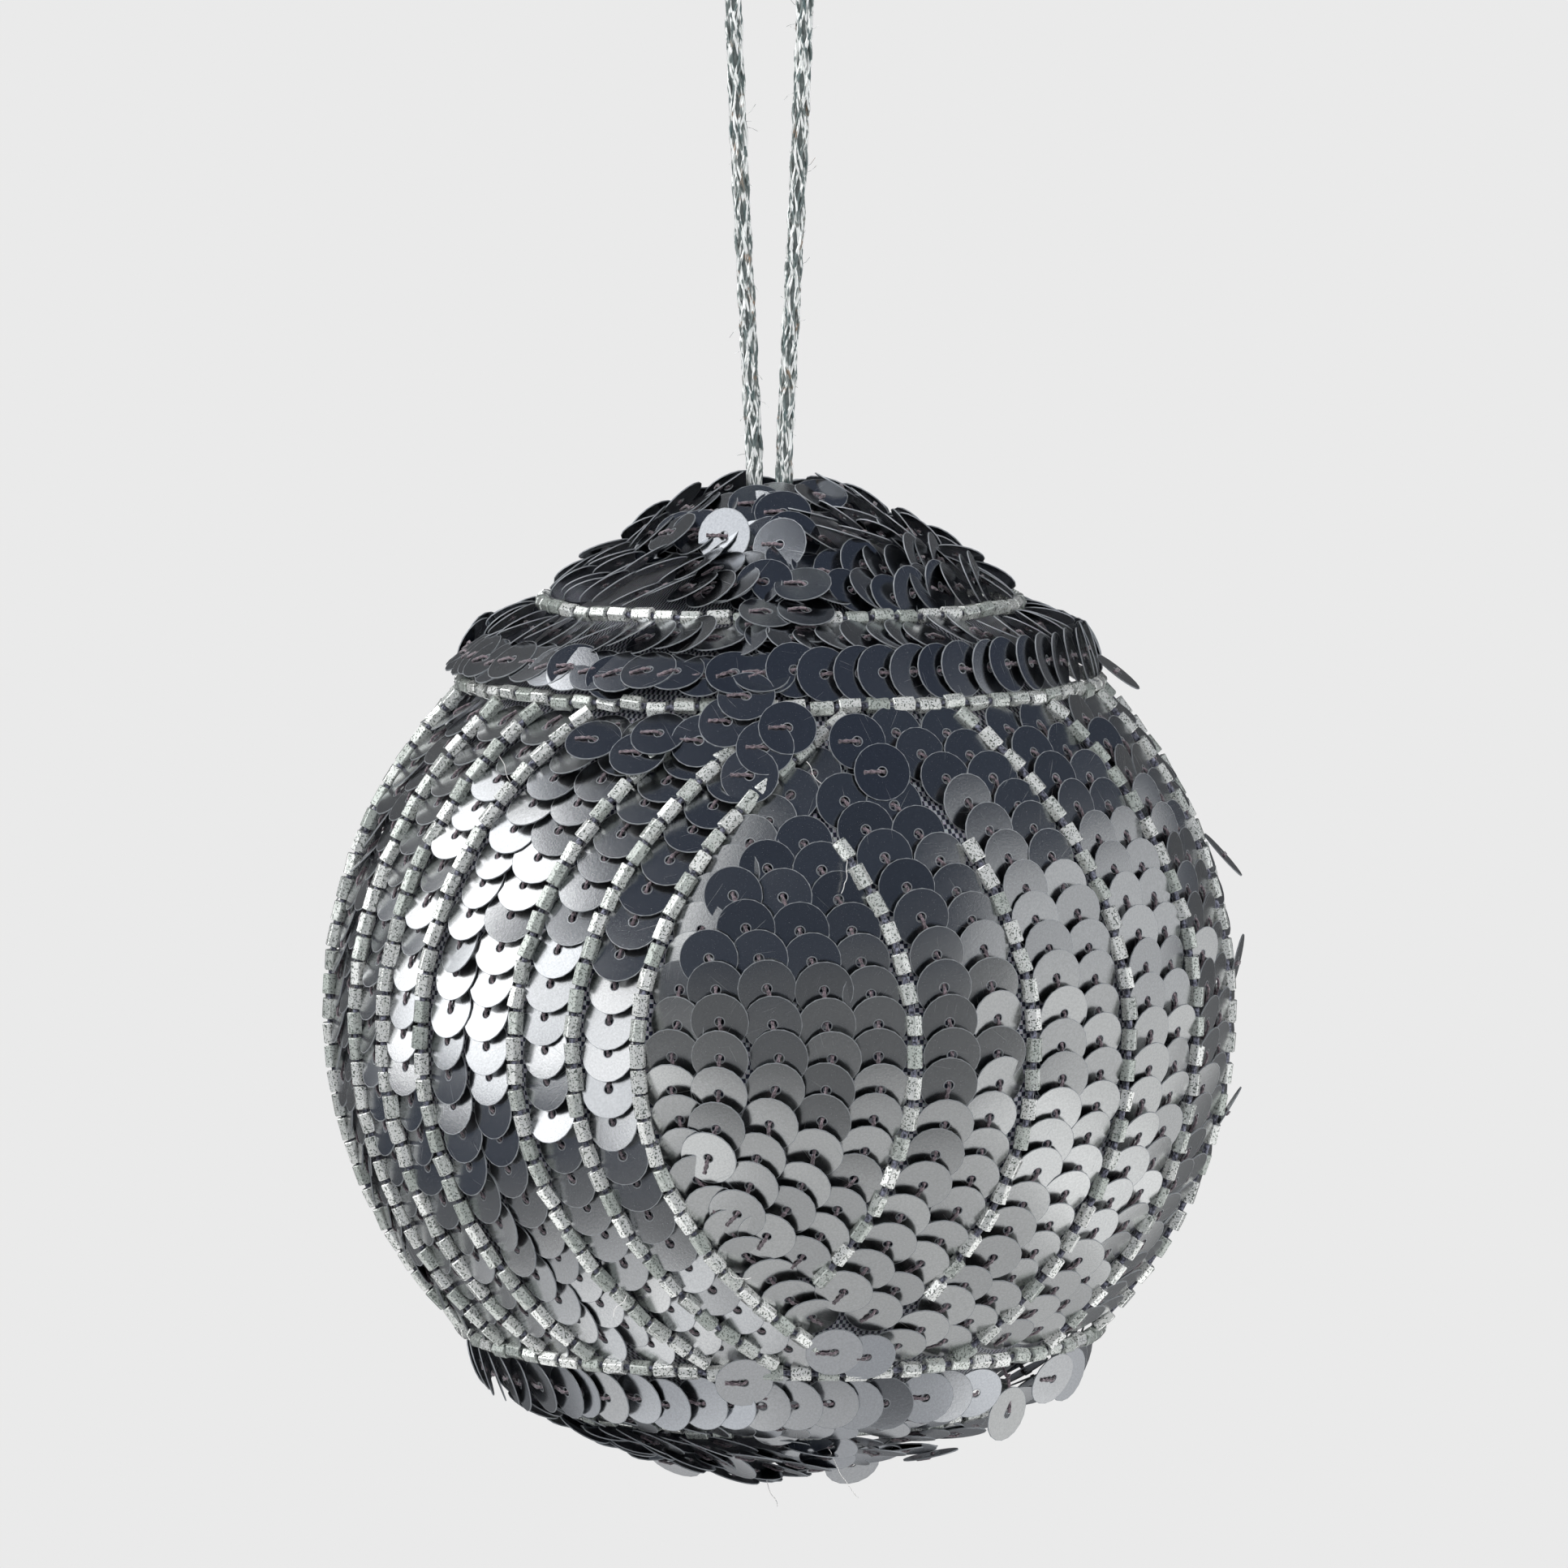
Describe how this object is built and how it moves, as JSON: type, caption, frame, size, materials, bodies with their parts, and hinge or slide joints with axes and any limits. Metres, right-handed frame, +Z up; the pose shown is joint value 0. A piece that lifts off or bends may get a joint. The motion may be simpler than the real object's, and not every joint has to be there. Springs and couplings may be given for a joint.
{
  "type": "hanging ball ornament",
  "caption": "Foam ball covered in cloth with rows of overlapping sequins between ribs of tube beads, hung from its crown by a looped metallic cord.",
  "frame": {"origin": "the hanging point, at the inside top of the cord loop", "axes": "+Z up along the hanging cord; the front, where the leaf of pale sequins shows, faces -Y"},
  "size_m": [0.0814, 0.0786, 0.175],
  "materials": {
    "foam": "expanded foam",
    "ground_cloth": "woven check, pale and dark threads",
    "dark_sequins": "satin gunmetal film, finely scratched",
    "pale_sequins": "satin gunmetal film, finely scratched",
    "tier_sequins": "satin gunmetal film, finely scratched",
    "silver_beads": "silver-lined cut tube, tarnished",
    "metallic_cord": "braided metallic yarn",
    "hot_glue": "brown glue",
    "sewing_thread": "dusky purple-brown thread"
  },
  "bodies": {
    "hanging_loop": {"hanging_cord": "metallic_cord"},
    "ball": {"foam_core": "foam", "crown_cloth": "ground_cloth", "shoulder_cloth": "ground_cloth", "side_cloth_left": "ground_cloth", "side_cloth_right": "ground_cloth", "band_cloth": "ground_cloth", "base_cloth": "ground_cloth", "cord_tails": "metallic_cord", "glue_bead_left": "hot_glue", "glue_bead_right": "hot_glue", "crown_beads": "silver_beads", "shoulder_beads": "silver_beads", "lower_beads": "silver_beads", "base_beads": "silver_beads", "seam_beads_front": "silver_beads", "seam_beads_back": "silver_beads", "left_rib_beads_near": "silver_beads", "left_rib_beads_far": "silver_beads", "right_rib_beads_near": "silver_beads", "right_rib_beads_far": "silver_beads", "crown_sequins_outer": "tier_sequins", "crown_sequins_inner": "tier_sequins", "shoulder_sequins_upper": "tier_sequins", "shoulder_sequins_lower": "tier_sequins", "band_sequins_upper": "tier_sequins", "band_sequins_lower": "tier_sequins", "base_sequins_outer": "tier_sequins", "base_sequins_inner": "tier_sequins", "crown_sequins_top": "tier_sequins", "base_sequins_end": "tier_sequins", "left_strip_1": "dark_sequins", "left_strip_2": "dark_sequins", "left_strip_3": "dark_sequins", "left_strip_4": "dark_sequins", "left_strip_5": "dark_sequins", "left_strip_6": "dark_sequins", "left_strip_7": "dark_sequins", "left_strip_8": "pale_sequins", "left_strip_9": "pale_sequins", "left_strip_10": "pale_sequins", "left_strip_11": "pale_sequins", "leaf_back": "pale_sequins", "right_strip_1": "dark_sequins", "right_strip_2": "dark_sequins", "right_strip_3": "dark_sequins", "right_strip_4": "dark_sequins", "right_strip_5": "dark_sequins", "right_strip_6": "dark_sequins", "right_strip_7": "dark_sequins", "right_strip_8": "pale_sequins", "right_strip_9": "pale_sequins", "right_strip_10": "pale_sequins", "right_strip_11": "pale_sequins", "leaf_front": "pale_sequins", "loose_thread_stitch": "sewing_thread", "glue_plug": "hot_glue"},
    "loose_disc": {"loose_sequin": "tier_sequins"}
  },
  "joints": [
    {"name": "ball_swing", "type": "hinge", "parent": "hanging_loop", "child": "ball", "pos_m": [0, 0, -0.0846], "axis": [1, 0, 0], "range_deg": [-40, 40]},
    {"name": "loose_disc_swing", "type": "hinge", "parent": "ball", "child": "loose_disc", "pos_m": [0.02065, -0.01694, -0.16159], "axis": [0.6528, 0.7575, 0], "range_deg": [-30, 30]}
  ]
}
